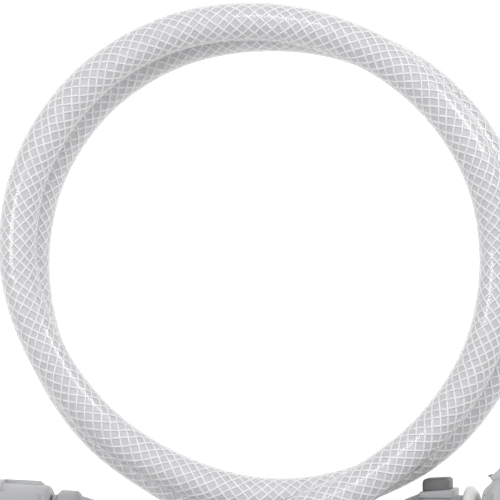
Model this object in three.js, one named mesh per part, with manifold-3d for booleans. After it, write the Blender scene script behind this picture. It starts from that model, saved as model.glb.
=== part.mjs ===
// Washing machine inlet hose: a braided clear hose lying in two loose turns, with a union nut for the
// machine on one end, and a push-button connector with a tap nut on the other.
// Millimetres, +Z up, standing on z = 0, with the middle of its box over the origin.

import * as THREE from 'three';
import { mergeVertices } from 'three/addons/utils/BufferGeometryUtils.js';
import Module from 'manifold-3d';

const wasm = await Module();
wasm.setup();

// Hose
const hoseDiameter = 16;
const hoseBore = 10;
const hoseSides = 12;
const hoseSteps = 80;
const turnGap = 0.5;

// Clearances between pieces: at rest on each other, and turning or sliding
const seatGap = 0.3;
const runningGap = 0.3;

// Each fitting's hose mouth from above, measured from the coil's middle, and the way it points
const machineMouth = { x: -68.2, y: -107.9, heading: 177.3, pitch: -4 };
const tapMouth = { x: 58.5, y: -106.2, heading: 0, pitch: 13 };
const straightLead = 9;

// The coil clockwise from above: its radius about its middle at each station, from the first angle on
const stationsPerTurn = 16;
const firstStationAngle = 225;
const coilRadii = [
  97.7, 97.2, 96.9, 97.5, 97.5, 97, 96.7, 98.9, 101.8, 103.9, 105, 105.1, 102.9, 98.4, 95.3, 92.8,
  93.5, 96.3, 100.9, 103.5, 103.9, 102.6, 100, 98.4, 97.6, 97.4, 96.5, 96.4, 96.3, 98.4,
];
// How far the coil's first turn is lifted off the floor where it climbs over the tap tail
const climbStart = 11;
const climb = [0.6, 3.7, 9.7, 14.2, 15.4];

// The tails between the coil and the fittings, as [x, y, lift off the floor]
const tapTail = [[34.5, -106.1, 0.8], [13.5, -106, 0], [-8, -103.8, 0], [-26, -97.8, 0], [-42, -89.3, 0]];
const machineTail = [
  [19, -99.3, 28.2], [11, -102.9, 28.1], [3, -105.6, 27.3], [-5, -107.7, 25.7], [-12, -108.9, 23.6],
  [-20, -109.6, 20.9], [-29, -109.7, 17.9], [-38, -109.3, 15.6], [-48, -108.9, 13.9],
];

// What both threaded ends share, sized for a three-quarter inch pipe thread
const threadBore = 24.1;
const nutBackWall = 3;
const neckDiameter = 14;
const flangeDiameter = 23.2;
const flangeThickness = 2.5;
const washerDiameter = 23.4;
const washerHole = 11;
const washerThickness = 3;
const neckBore = 9;
const waterway = 6.6;
const barbDiameter = 8.4;
const barbRise = 0.25;
const barbPitch = 3.2;
const barbCount = 3;
const barbRecess = 2.5;

// Machine end
const ferruleInset = 17.8;
const ferruleMouthDiameter = 21;
const ferruleSkirtDiameter = 24.8;
const ferruleSkirtLength = 7.4;
const ferruleCollarDiameter = 28.8;
const ferruleCollarLength = 8.4;
const ferruleCollarInset = 8.3;
const ferruleEndWall = 1.1;
const ferruleChamfer = 0.8;
const unionNutGap = 0.6;
const unionNutLength = 23;
const unionNutDiameter = 32.4;
const unionNutCorner = 3.6;
const unionRimDiameter = 35.2;
const unionRimLength = 3.4;
const unionRibCount = 6;
const unionRibWidth = 5;
const unionRibInset = 3.4;
const unionRibTurn = 192;

// Tap end
const connectorInset = 12.6;
const connectorMouthDiameter = 18.4;
const connectorTaperLength = 8.9;
const connectorDiameter = 25.6;
const connectorBarrelLength = 12.8;
const connectorCollarDiameter = 22.4;
const connectorCollarLength = 2.9;
const bossHeight = 14;
const bossWidth = 17;
const bossStart = 7.2;
const bossSlope = 1.2;
const bossRoot = 1;
const buttonStart = 8.1;
const buttonLength = 11.2;
const buttonWidth = 12;
const buttonTop = 18.6;
const buttonDepth = 6.3;
const buttonCorner = 1.5;
const buttonTravel = 2.2;
const socketDepth = 10;
const stemDiameter = 12;
const discDiameter = 30.6;
const discLength = 6.3;
const nippleNeckLength = 2.1;
const tapNutLength = 24;
const tapNutDiameter = 36.8;
const tapNutBackDiameter = 28;
const tapNutConeLength = 4.5;
const lobeCount = 6;
const lobeHeight = 5.6;
const lobeWidth = 6;
const lobeInset = 2;
const lobeCorner = 3;
const lobeRoot = 2;
const lobeBackRise = 1;
const nutChamfer = 0.8;

const hoseRadius = hoseDiameter / 2;
const turnedSides = 40;

const clearHose = new THREE.MeshStandardMaterial({ color: 0xd9dcde, roughness: 0.3, metalness: 0 });
const lightGrey = new THREE.MeshStandardMaterial({ color: 0xb2b3b4, roughness: 0.5, metalness: 0 });
const midGrey = new THREE.MeshStandardMaterial({ color: 0x94979a, roughness: 0.5, metalness: 0 });
const darkGrey = new THREE.MeshStandardMaterial({ color: 0x5c5f61, roughness: 0.45, metalness: 0 });
const milkWhite = new THREE.MeshStandardMaterial({ color: 0xe6e6e4, roughness: 0.35, metalness: 0 });
const blackRubber = new THREE.MeshStandardMaterial({ color: 0x2b2b2b, roughness: 0.8, metalness: 0 });

const radians = (degrees) => THREE.MathUtils.degToRad(degrees);

// A closed geometry as a solid that can be joined and cut
function solidOf(geometry) {
  const bare = geometry.clone();
  bare.deleteAttribute('normal');
  bare.deleteAttribute('uv');
  const merged = mergeVertices(bare, 1e-4);
  return new wasm.Manifold(new wasm.Mesh({
    numProp: 3,
    vertProperties: new Float32Array(merged.attributes.position.array),
    triVerts: new Uint32Array(merged.index.array),
  }));
}

function geometryOf(solid) {
  const mesh = solid.getMesh();
  const geometry = new THREE.BufferGeometry();
  geometry.setAttribute('position', new THREE.BufferAttribute(new Float32Array(mesh.vertProperties), 3));
  geometry.setIndex(new THREE.BufferAttribute(new Uint32Array(mesh.triVerts), 1));
  geometry.computeVertexNormals();
  return geometry;
}

function mesh(name, geometry, material) {
  const piece = new THREE.Mesh(geometry, material);
  piece.name = name;
  return piece;
}

// A turned piece about +Z: the outline goes up the outside and down the inside, as [along, diameter]
function turned(outline) {
  const points = [...outline, outline[0]].map(([along, diameter]) => new THREE.Vector2(diameter / 2, along));
  return new THREE.LatheGeometry(points, turnedSides).rotateX(Math.PI / 2);
}

// A plate through the axis, standing on the +Y side: its outline is a shape of (along, radius)
function plate(shape, thickness) {
  const options = { depth: thickness, bevelEnabled: false, curveSegments: 4 };
  return new THREE.ExtrudeGeometry(shape, options).translate(0, 0, -thickness / 2).rotateY(-Math.PI / 2);
}

// An upright outline from start to start + length and from low to high, its upper corners rounded
function blockShape(start, length, low, high, corner) {
  const end = start + length;
  const shape = new THREE.Shape();
  shape.moveTo(start, low);
  shape.lineTo(end, low);
  shape.lineTo(end, high - corner);
  shape.absarc(end - corner, high - corner, corner, 0, Math.PI / 2, false);
  shape.lineTo(start + corner, high);
  shape.absarc(start + corner, high - corner, corner, Math.PI / 2, Math.PI, false);
  shape.lineTo(start, low);
  return shape;
}

// Copies of a plate round the axis, joined to a turned body
function withPlates(body, shape, thickness, count, turn) {
  let solid = solidOf(body);
  for (let index = 0; index < count; index += 1) {
    const angle = radians(turn + (index * 360) / count);
    solid = solid.add(solidOf(plate(shape, thickness).rotateZ(angle)));
  }
  return geometryOf(solid);
}

// The barbed spigot inside the hose's end, as an outline from its tip up to the hose's cut end
function barbs(cutEnd) {
  const outline = [[barbRecess, barbDiameter - 2 * barbRise]];
  for (let index = 0; index < barbCount; index += 1) {
    const foot = barbRecess + barbPitch * (index + 0.9);
    outline.push([foot, barbDiameter + 2 * barbRise], [foot + 0.1 * barbPitch, barbDiameter]);
  }
  outline.push([cutEnd + seatGap, barbDiameter]);
  return outline;
}

// Neck and flange that a nut turns on, as an outline that ends inside the bore at the flange's face
function neckAndFlange(neckStart, nutBack) {
  const flangeBack = nutBack + nutBackWall + runningGap;
  const flangeFace = flangeBack + flangeThickness;
  return [
    [neckStart, neckDiameter], [flangeBack, neckDiameter], [flangeBack, flangeDiameter],
    [flangeFace, flangeDiameter], [flangeFace, neckBore],
  ];
}

function washer(nutBack) {
  const back = nutBack + nutBackWall + runningGap + flangeThickness + seatGap;
  const face = back + washerThickness;
  return turned([[back, washerDiameter], [face, washerDiameter], [face, washerHole], [back, washerHole]]);
}

// The inside of a nut: the mouth's bore, then the hole in its back wall that the neck passes
function nutBore(back, length) {
  const hole = neckDiameter + 2 * runningGap;
  return [
    [back + length, threadBore + 2 * nutChamfer], [back + length - nutChamfer, threadBore],
    [back + nutBackWall, threadBore], [back + nutBackWall, hole], [back, hole],
  ];
}

// Sleeve that the hose's end sits in, as an outline from its shoulder back down to the mouth
function hoseSocket(cutEnd) {
  const sleeve = hoseDiameter + 2 * seatGap;
  return [[cutEnd + seatGap, sleeve], [seatGap, sleeve], [0, sleeve + seatGap]];
}

const unionNutBack = ferruleInset + seatGap + ferruleEndWall + unionNutGap;

function machineFerrule() {
  const collarEnd = ferruleCollarInset + ferruleCollarLength;
  const end = ferruleInset + seatGap + ferruleEndWall;
  const shoulder = ferruleCollarDiameter - 2 * ferruleChamfer;
  return turned([
    [0, ferruleMouthDiameter], [ferruleSkirtLength, ferruleSkirtDiameter],
    [ferruleCollarInset, shoulder], [ferruleCollarInset + ferruleChamfer, ferruleCollarDiameter],
    [collarEnd - ferruleChamfer, ferruleCollarDiameter], [collarEnd, shoulder],
    [collarEnd + ferruleChamfer, ferruleSkirtDiameter], [end, ferruleSkirtDiameter],
    [end, neckDiameter + 2 * seatGap], [end - ferruleEndWall, neckDiameter + 2 * seatGap],
    ...hoseSocket(ferruleInset),
  ]);
}

function machineTailPiece() {
  const neckStart = ferruleInset + seatGap;
  return turned([
    ...barbs(ferruleInset), ...neckAndFlange(neckStart, unionNutBack),
    [neckStart, neckBore], [neckStart, waterway], [barbRecess, waterway],
  ]);
}

function unionNut() {
  const back = unionNutBack;
  const end = back + unionNutLength;
  const rim = end - unionRimLength;
  const body = turned([
    [back, unionNutDiameter - 2 * unionNutCorner],
    [back + 0.1 * unionNutCorner, unionNutDiameter - 1.1 * unionNutCorner],
    [back + 0.3 * unionNutCorner, unionNutDiameter - 0.4 * unionNutCorner],
    [back + 0.65 * unionNutCorner, unionNutDiameter],
    [rim, unionNutDiameter], [rim + nutChamfer, unionRimDiameter],
    [end - nutChamfer, unionRimDiameter], [end, unionRimDiameter - 2 * nutChamfer],
    ...nutBore(back, unionNutLength),
  ]);
  const ribHeight = (unionRimDiameter - unionNutDiameter) / 2;
  const ribLength = unionNutLength - unionRimLength - unionRibInset + nutChamfer;
  const foot = unionNutDiameter / 2 - ribHeight;
  const rib = blockShape(back + unionRibInset, ribLength, foot, unionRimDiameter / 2, ribHeight);
  return withPlates(body, rib, unionRibWidth, unionRibCount, unionRibTurn);
}

function tapConnector() {
  const barrelEnd = connectorTaperLength + connectorBarrelLength;
  const end = barrelEnd + connectorCollarLength;
  const socket = stemDiameter + 2 * runningGap;
  const webFace = end - socketDepth;
  const body = solidOf(turned([
    [0, connectorMouthDiameter], [connectorTaperLength, connectorDiameter],
    [barrelEnd - nutChamfer, connectorDiameter], [barrelEnd, connectorCollarDiameter],
    [end, connectorCollarDiameter], [end, socket], [webFace, socket], [webFace, waterway],
    [barbRecess, waterway], ...barbs(connectorInset), ...hoseSocket(connectorInset),
  ]));
  const bossEnd = barrelEnd - nutChamfer / 2;
  const boss = new THREE.Shape();
  boss.moveTo(bossStart, connectorMouthDiameter / 2 + bossRoot);
  boss.lineTo(bossEnd, connectorMouthDiameter / 2 + bossRoot);
  boss.lineTo(bossEnd, bossHeight - nutChamfer);
  boss.lineTo(bossEnd - nutChamfer, bossHeight);
  boss.lineTo(bossStart + nutChamfer, bossHeight - bossSlope);
  const pocketFloor = buttonTop - buttonDepth - buttonTravel - seatGap;
  const pocketLength = buttonLength + 2 * runningGap;
  const pocket = blockShape(buttonStart - runningGap, pocketLength, pocketFloor, buttonTop, buttonCorner);
  return geometryOf(body.add(solidOf(plate(boss, bossWidth)))
    .subtract(solidOf(plate(pocket, buttonWidth + 2 * runningGap))));
}

function releaseButton() {
  const shape = blockShape(buttonStart, buttonLength, buttonTop - buttonDepth, buttonTop, buttonCorner);
  return plate(shape, buttonWidth);
}

const connectorEnd = connectorTaperLength + connectorBarrelLength + connectorCollarLength;
const discStart = connectorEnd + seatGap;
const tapNutBack = discStart + discLength + nippleNeckLength;

function tapNipple() {
  const bottom = connectorEnd - socketDepth + seatGap;
  return turned([
    [bottom, stemDiameter], [discStart, stemDiameter], [discStart, 0.72 * discDiameter],
    [discStart + 0.11 * discLength, 0.94 * discDiameter], [discStart + 0.3 * discLength, discDiameter],
    [discStart + 0.55 * discLength, 0.985 * discDiameter],
    [discStart + 0.87 * discLength, 0.85 * discDiameter], [discStart + discLength, 0.61 * discDiameter],
    ...neckAndFlange(discStart + discLength, tapNutBack), [bottom, neckBore],
  ]);
}

function tapNut() {
  const back = tapNutBack;
  const end = back + tapNutLength;
  const body = turned([
    [back, tapNutBackDiameter], [back + tapNutConeLength, tapNutDiameter],
    [end - nutChamfer, tapNutDiameter], [end, tapNutDiameter - 2 * nutChamfer],
    ...nutBore(back, tapNutLength),
  ]);
  const foot = tapNutDiameter / 2 - lobeRoot;
  const crest = tapNutDiameter / 2 + lobeHeight;
  const lobe = new THREE.Shape();
  lobe.moveTo(back + tapNutConeLength, foot);
  lobe.lineTo(end - nutChamfer, foot);
  lobe.lineTo(end - nutChamfer, crest - 2 * lobeCorner);
  lobe.quadraticCurveTo(end - nutChamfer, crest, end - 2 * lobeCorner, crest);
  lobe.lineTo(back + lobeInset + 1.7 * lobeCorner, crest);
  lobe.quadraticCurveTo(back + lobeInset + 1.3 * lobeCorner, crest - lobeCorner,
    back + lobeInset, tapNutDiameter / 2 + lobeBackRise);
  return withPlates(body, lobe, lobeWidth, lobeCount, 0);
}

// Turns a fitting's own +Z to the way it points, with its own +Y level, and stands it on the floor
function placed(pieces, mouth) {
  const fitting = new THREE.Group();
  fitting.add(...pieces);
  const heading = radians(mouth.heading);
  const pitch = radians(mouth.pitch);
  const along = new THREE.Vector3(
    Math.cos(heading) * Math.cos(pitch), Math.sin(heading) * Math.cos(pitch), Math.sin(pitch));
  const left = new THREE.Vector3(-Math.sin(heading), Math.cos(heading), 0);
  const third = new THREE.Vector3().crossVectors(left, along);
  fitting.quaternion.setFromRotationMatrix(new THREE.Matrix4().makeBasis(third, left, along));
  fitting.position.set(mouth.x, mouth.y, 0);
  fitting.position.z = -new THREE.Box3().setFromObject(fitting, true).min.z;
  return fitting;
}

const machineEnd = placed([
  mesh('machine_ferrule', machineFerrule(), midGrey),
  mesh('machine_tail', machineTailPiece(), midGrey),
  mesh('machine_washer', washer(unionNutBack), blackRubber),
  mesh('union_nut', unionNut(), lightGrey),
], machineMouth);

const tapEnd = placed([
  mesh('tap_connector', tapConnector(), midGrey),
  mesh('release_button', releaseButton(), darkGrey),
  mesh('tap_nipple', tapNipple(), milkWhite),
  mesh('tap_washer', washer(tapNutBack), blackRubber),
  mesh('tap_nut', tapNut(), lightGrey),
], tapMouth);

// The hose's line inside and just outside a fitting, from its cut end outwards
function leadOut(fitting, inset) {
  return [inset, 0, -straightLead].map((along) => fitting.localToWorld(new THREE.Vector3(0, 0, along)));
}

const onFloor = (x, y, above = 0) => new THREE.Vector3(x, y, hoseRadius + above);

// The second turn lies on the first: the further it is to one side, the lower it sits
function coilLift(station) {
  const below = station - stationsPerTurn;
  if (below < 0) return climb[station - climbStart] ?? 0;
  const aside = coilRadii[station] - coilRadii[below];
  return coilLift(below) + Math.sqrt((hoseDiameter + turnGap) ** 2 - aside ** 2);
}

function coilPoint(radius, station) {
  const angle = radians(firstStationAngle - (360 * station) / stationsPerTurn);
  return onFloor(radius * Math.cos(angle), radius * Math.sin(angle), coilLift(station));
}

function hoseRoute() {
  const points = [
    ...leadOut(tapEnd, connectorInset), ...tapTail.map((point) => onFloor(...point)),
    ...coilRadii.map(coilPoint), ...machineTail.map((point) => onFloor(...point)),
    ...leadOut(machineEnd, ferruleInset).reverse(),
  ];
  return new THREE.CatmullRomCurve3(points, false, 'centripetal');
}

function circle(Kind, diameter) {
  const points = [];
  for (let side = 0; side < hoseSides; side += 1) {
    const angle = (2 * Math.PI * side) / hoseSides;
    points.push(new THREE.Vector2(Math.cos(angle), Math.sin(angle)).multiplyScalar(diameter / 2));
  }
  return new Kind(points);
}

function hose() {
  const section = circle(THREE.Shape, hoseDiameter);
  section.holes.push(circle(THREE.Path, hoseBore));
  return new THREE.ExtrudeGeometry(section, { steps: hoseSteps, extrudePath: hoseRoute(), bevelEnabled: false });
}

const part = new THREE.Group();
part.add(mesh('hose', hose(), clearHose), machineEnd, tapEnd);
const box = new THREE.Box3().setFromObject(part, true);
part.position.set(-(box.min.x + box.max.x) / 2, -(box.min.y + box.max.y) / 2, -box.min.z);

export default part;
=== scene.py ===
"""A clear braided inlet hose for a washing machine, lying in two turns on a pale floor.

The hose is a glossy clear jacket over two sets of white yarns, wound left and right round a milky
inner wall. Grey moulded fittings close its ends. Sizes are in millimetres in the classes below, and
meshes are in metres.
"""

from __future__ import annotations

import logging
import math
from dataclasses import dataclass, field
from enum import Enum
from typing import Any, Mapping, Sequence, Union

import bmesh
import bpy
from mathutils import Matrix, Vector


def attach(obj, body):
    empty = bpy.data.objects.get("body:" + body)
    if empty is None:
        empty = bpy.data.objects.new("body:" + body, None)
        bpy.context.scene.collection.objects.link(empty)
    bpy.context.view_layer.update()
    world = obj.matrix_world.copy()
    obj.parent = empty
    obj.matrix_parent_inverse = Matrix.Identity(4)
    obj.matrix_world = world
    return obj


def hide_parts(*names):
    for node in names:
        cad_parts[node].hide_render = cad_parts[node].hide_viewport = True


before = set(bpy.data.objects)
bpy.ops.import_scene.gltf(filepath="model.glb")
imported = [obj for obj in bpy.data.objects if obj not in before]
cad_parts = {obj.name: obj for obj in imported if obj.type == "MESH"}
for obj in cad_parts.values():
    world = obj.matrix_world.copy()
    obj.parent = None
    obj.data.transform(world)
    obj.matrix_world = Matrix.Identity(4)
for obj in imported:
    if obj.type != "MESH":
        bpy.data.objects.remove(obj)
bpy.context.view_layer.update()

log = logging.getLogger("hose")

MM = 0.001
FULL_TURN = 2.0 * math.pi
WHITE = (1.0, 1.0, 1.0, 1.0)
Number = Union[int, float]
Colour = tuple[float, float, float]
Outline = list[tuple[float, float]]
Corners = list[tuple[float, ...]]


class Body(str, Enum):
    """The bodies that the pieces move with."""

    HOSE_LINE = "hose_line"
    MACHINE_NUT = "machine_nut"
    TAP_NUT = "tap_side_nut"
    BUTTON = "button"


class Slot(str, Enum):
    """The finishes that the record names."""

    HOSE = "hose"
    NUT = "nut_plastic"
    FITTING = "fitting_plastic"
    BUTTON = "button_plastic"
    NIPPLE = "nipple_plastic"
    WASHER = "washer_rubber"


class Winding(Enum):
    """Which way round the hose a set of yarns is wound, along its line."""

    LEFT = -1
    RIGHT = 1


class Shade(Enum):
    """The colours of the moulded pieces."""

    FERRULE = (0.32, 0.322, 0.33)
    UNION_NUT = (0.36, 0.362, 0.369)
    CONNECTOR = (0.315, 0.317, 0.324)
    TAP_NUT = (0.41, 0.412, 0.418)
    BUTTON = (0.128, 0.13, 0.133)
    NIPPLE = (0.6, 0.6, 0.595)


class Wire:
    """An output socket that takes part in Python expressions."""

    def __init__(self, sheet: "Sheet", socket: bpy.types.NodeSocket) -> None:
        """Keeps the sheet that the socket's node lies on."""
        self.sheet = sheet
        self.socket = socket

    def _math(self, operation: str, *values: Union["Wire", Number]) -> "Wire":
        """Adds a Math node on these values.

        Args:
            operation: the Math node's operation.
            values: its inputs in order.

        Returns:
            The node's result.
        """
        inputs = dict(enumerate(values))
        return self.sheet.wire("ShaderNodeMath", 0, {"operation": operation}, inputs)

    def __add__(self, other: Union["Wire", Number]) -> "Wire":
        """Self plus other."""
        return self._math("ADD", self, other)

    def __radd__(self, other: Number) -> "Wire":
        """Other plus self."""
        return self._math("ADD", other, self)

    def __sub__(self, other: Union["Wire", Number]) -> "Wire":
        """Self minus other."""
        return self._math("SUBTRACT", self, other)

    def __rsub__(self, other: Number) -> "Wire":
        """Other minus self."""
        return self._math("SUBTRACT", other, self)

    def __mul__(self, other: Union["Wire", Number]) -> "Wire":
        """Self times other."""
        return self._math("MULTIPLY", self, other)

    def __rmul__(self, other: Number) -> "Wire":
        """Other times self."""
        return self._math("MULTIPLY", other, self)

    def __truediv__(self, other: Union["Wire", Number]) -> "Wire":
        """Self over other."""
        return self._math("DIVIDE", self, other)

    def __pow__(self, other: Union["Wire", Number]) -> "Wire":
        """Self to a power."""
        return self._math("POWER", self, other)

    def sine(self) -> "Wire":
        """The sine of this angle."""
        return self._math("SINE", self)

    def cosine(self) -> "Wire":
        """The cosine of this angle."""
        return self._math("COSINE", self)

    def at_least(self, floor: Union["Wire", Number]) -> "Wire":
        """This value, or floor where it is lower."""
        return self._math("MAXIMUM", self, floor)

    def angle_to(self, other: "Wire") -> "Wire":
        """The angle whose sine and cosine are self and other."""
        return self._math("ARCTAN2", self, other)

    def vector(self, operation: str, other: "Wire") -> "Wire":
        """Adds a Vector Math node on self and other, and returns its vector."""
        settings = {"operation": operation}
        return self.sheet.wire("ShaderNodeVectorMath", 0, settings, {0: self, 1: other})

    def dot(self, other: "Wire") -> "Wire":
        """The dot product of two vectors."""
        settings = {"operation": "DOT_PRODUCT"}
        return self.sheet.wire("ShaderNodeVectorMath", 1, settings, {0: self, 1: other})

    def stretched(self, factor: Union["Wire", Number]) -> "Wire":
        """This vector times a number."""
        settings = {"operation": "SCALE"}
        return self.sheet.wire("ShaderNodeVectorMath", 0, settings, {0: self, 3: factor})

    def parts(self) -> tuple["Wire", "Wire", "Wire"]:
        """This vector's X, Y and Z."""
        node = self.sheet.node("ShaderNodeSeparateXYZ", {}, {0: self})
        return tuple(Wire(self.sheet, output) for output in node.outputs)


class Sheet:
    """A node tree being drawn, of a material or of geometry."""

    def __init__(self, tree: bpy.types.NodeTree) -> None:
        """Starts on an emptied tree."""
        self.tree = tree
        tree.nodes.clear()

    def node(
        self,
        kind: str,
        settings: Mapping[str, Any] | None = None,
        inputs: Mapping[Any, Any] | None = None,
    ) -> bpy.types.Node:
        """Adds one node.

        Args:
            kind: the node's type.
            settings: its own properties, which are set first.
            inputs: a value or a Wire for each socket, by name or number.

        Returns:
            The new node.
        """
        node = self.tree.nodes.new(kind)
        for name, value in (settings or {}).items():
            setattr(node, name, value)
        for key, value in (inputs or {}).items():
            if isinstance(value, Wire):
                self.tree.links.new(value.socket, node.inputs[key])
            else:
                node.inputs[key].default_value = value
        return node

    def wire(
        self,
        kind: str,
        output: Union[int, str],
        settings: Mapping[str, Any] | None = None,
        inputs: Mapping[Any, Any] | None = None,
    ) -> Wire:
        """Adds one node and returns the output that is named."""
        return Wire(self, self.node(kind, settings, inputs).outputs[output])

    def blend(self, factor: Union[Wire, Number], low: Any, high: Any) -> Wire:
        """Mixes two colours.

        Args:
            factor: 0 for low, 1 for high.
            low: a Wire or three numbers.
            high: a Wire or three numbers.

        Returns:
            The colour between them.
        """
        colours = [value if isinstance(value, Wire) else (*value, 1.0) for value in (low, high)]
        settings = {"data_type": "RGBA"}
        return self.wire("ShaderNodeMix", 2, settings, {0: factor, 6: colours[0], 7: colours[1]})


class Finish:
    """What every finish shares: a named material with one surface shader."""

    title: str

    def material(self) -> bpy.types.Material:
        """Makes the material.

        Returns:
            A new material that carries the finish's nodes.
        """
        material = bpy.data.materials.new(self.title)
        material.use_nodes = True
        sheet = Sheet(material.node_tree)
        output = sheet.node("ShaderNodeOutputMaterial")
        sheet.tree.links.new(self.surface(sheet).outputs[0], output.inputs["Surface"])
        return material

    def surface(self, sheet: Sheet) -> bpy.types.Node:
        """Draws the finish on a sheet and returns its last shader."""
        raise NotImplementedError

    @staticmethod
    def grain(sheet: Sheet, scale: float, detail: float = 2.0, roughness: float = 0.5) -> Wire:
        """Noise in the piece's own place.

        Args:
            sheet: the sheet to draw on.
            scale: how many grains there are to a metre.
            detail: how many finer layers the noise has.
            roughness: how strong the finer layers are.

        Returns:
            A number from 0 to 1, round 0.5.
        """
        place = sheet.wire("ShaderNodeTexCoord", "Object")
        inputs = {"Vector": place, "Scale": scale, "Detail": detail, "Roughness": roughness}
        return sheet.wire("ShaderNodeTexNoise", 0, {}, inputs)

    @staticmethod
    def bump(sheet: Sheet, height: Wire, strength: float, depth: float) -> Wire:
        """Fine relief on the surface.

        Args:
            sheet: the sheet to draw on.
            height: how high the surface stands, from 0 to 1.
            strength: how much of the relief shows.
            depth: the relief's depth in millimetres.

        Returns:
            The surface's normal.
        """
        inputs = {"Strength": strength, "Distance": depth * MM, "Height": height}
        return sheet.wire("ShaderNodeBump", 0, {}, inputs)


@dataclass(frozen=True)
class MouldedPlastic(Finish):
    """Injection-moulded plastic with faint flow clouds and a fine satin grain."""

    title: str
    shade: Shade
    cloud: float = 0.07
    cloud_scale: float = 95.0
    gloss_roughness: float = 0.42
    smear: float = 0.22
    smear_scale: float = 380.0
    grain_depth: float = 0.02
    grain_scale: float = 2600.0
    grain_strength: float = 0.35
    milky: float = 0.0
    milky_depth: float = 1.2

    def surface(self, sheet: Sheet) -> bpy.types.Node:
        """Draws the plastic.

        Args:
            sheet: the sheet to draw on.

        Returns:
            Its shader.
        """
        clouds = self.grain(sheet, self.cloud_scale, 3.0)
        fine = self.grain(sheet, self.grain_scale, 2.0)
        smears = self.grain(sheet, self.smear_scale, 4.0, 0.6)
        dark = tuple(channel * (1.0 - self.cloud) for channel in self.shade.value)
        light = tuple(min(1.0, channel * (1.0 + self.cloud)) for channel in self.shade.value)
        settings = {
            "Base Color": sheet.blend(clouds, dark, light),
            "Roughness": self.gloss_roughness + (smears - 0.5) * self.smear,
            "Normal": self.bump(sheet, fine, self.grain_strength, self.grain_depth),
            "Subsurface Weight": self.milky,
            "Subsurface Radius": (1.0, 0.95, 0.9),
            "Subsurface Scale": self.milky_depth * MM,
        }
        return sheet.node("ShaderNodeBsdfPrincipled", {}, settings)


@dataclass(frozen=True)
class MouldedRubber(Finish):
    """Matt black washer rubber with a dusty bloom."""

    title: str = "washer_rubber_finish"
    colour: Colour = (0.022, 0.022, 0.023)
    bloom: Colour = (0.06, 0.06, 0.062)
    roughness: float = 0.68
    dust_roughness: float = 0.2
    dust_scale: float = 420.0
    pit_scale: float = 1900.0
    pit_depth: float = 0.03

    def surface(self, sheet: Sheet) -> bpy.types.Node:
        """Draws the rubber.

        Args:
            sheet: the sheet to draw on.

        Returns:
            Its shader.
        """
        dust = self.grain(sheet, self.dust_scale, 5.0, 0.65)
        pits = self.grain(sheet, self.pit_scale, 2.0)
        settings = {
            "Base Color": sheet.blend(dust ** 2.0, self.colour, self.bloom),
            "Roughness": self.roughness + dust * self.dust_roughness,
            "Normal": self.bump(sheet, pits, 0.5, self.pit_depth),
        }
        return sheet.node("ShaderNodeBsdfPrincipled", {}, settings)


@dataclass(frozen=True)
class Weave:
    """How the two sets of yarns cross inside the hose's wall."""

    yarns: int = 10
    pitch: float = 50.5
    radius: float = 7.35
    rise: float = 0.12
    yarn_width: float = 0.86
    yarn_thickness: float = 0.34
    unevenness: float = 0.42
    relief_sharpness: float = 6.0

    def relief(self, sheet: Sheet) -> Wire:
        """How the yarns lift the skin over them, on a piece with along and ring attributes.

        Args:
            sheet: the sheet to draw on.

        Returns:
            A number that is 1 over a yarn and 0 between them.
        """
        along = sheet.wire("ShaderNodeAttribute", "Fac", {"attribute_name": "along"})
        ring = sheet.wire("ShaderNodeAttribute", "Vector", {"attribute_name": "ring"})
        across, up, _ = ring.parts()
        angle = up.angle_to(across) * self.yarns
        turn = along * (FULL_TURN * self.yarns / (self.pitch * MM))
        right = (angle - turn).cosine().at_least(0.0) ** self.relief_sharpness
        left = (angle + turn).cosine().at_least(0.0) ** self.relief_sharpness
        return right.at_least(left)


@dataclass(frozen=True)
class ClearSkin(Finish):
    """Clear flexible PVC over the braid: mostly see-through, with a wet gloss. Its dark grey colour is
    partly painted shade: it covers more towards grazing edges, and so draws a dark rim along the tube's
    sides.
    """

    weave: Weave
    title: str = "clear_pvc_skin"
    # Dark grey: at low cover it greys the hose a little; at grazing edges it is painted shade, a dark rim
    # along the tube's sides.
    tint_and_rim_shade: Colour = (0.27, 0.27, 0.28)
    tint_spread: float = 0.95
    cover: float = 0.16
    edge_cover: float = 0.95
    edge_falloff: float = 2.2
    roughness: float = 0.18
    smear: float = 0.16
    index: float = 1.54
    coat_roughness: float = 0.11
    coat_index: float = 1.65
    relief_share: float = 0.6
    ripple_share: float = 0.7
    relief_strength: float = 0.55
    relief_depth: float = 0.16

    def surface(self, sheet: Sheet) -> bpy.types.Node:
        """Draws the skin.

        Args:
            sheet: the sheet to draw on.

        Returns:
            Its shader.
        """
        relief = self.weave.relief(sheet)
        ripple = self.grain(sheet, 160.0, 2.0)
        height = relief * self.relief_share + ripple * self.ripple_share
        bump = self.bump(sheet, height, self.relief_strength, self.relief_depth)
        edge = sheet.wire("ShaderNodeLayerWeight", "Facing", {}, {"Blend": 0.5, "Normal": bump})
        edge_rise = self.edge_cover - self.cover
        dull = tuple(self.tint_spread * channel for channel in self.tint_and_rim_shade)
        settings = {
            "Base Color": sheet.blend(ripple, dull, self.tint_and_rim_shade),
            "Roughness": self.roughness + self.grain(sheet, 300.0, 3.0) * self.smear,
            "IOR": self.index,
            "Specular IOR Level": 1.0,
            "Coat Weight": 1.0,
            "Coat Roughness": self.coat_roughness,
            "Coat IOR": self.coat_index,
            # Painted shade: cover rises towards grazing edges, so the dark skin colour draws a dark rim
            # where refraction would darken the tube's sides.
            "Alpha": self.cover + edge_rise * edge ** self.edge_falloff,
            "Normal": bump,
        }
        return sheet.node("ShaderNodeBsdfPrincipled", {}, settings)


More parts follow.
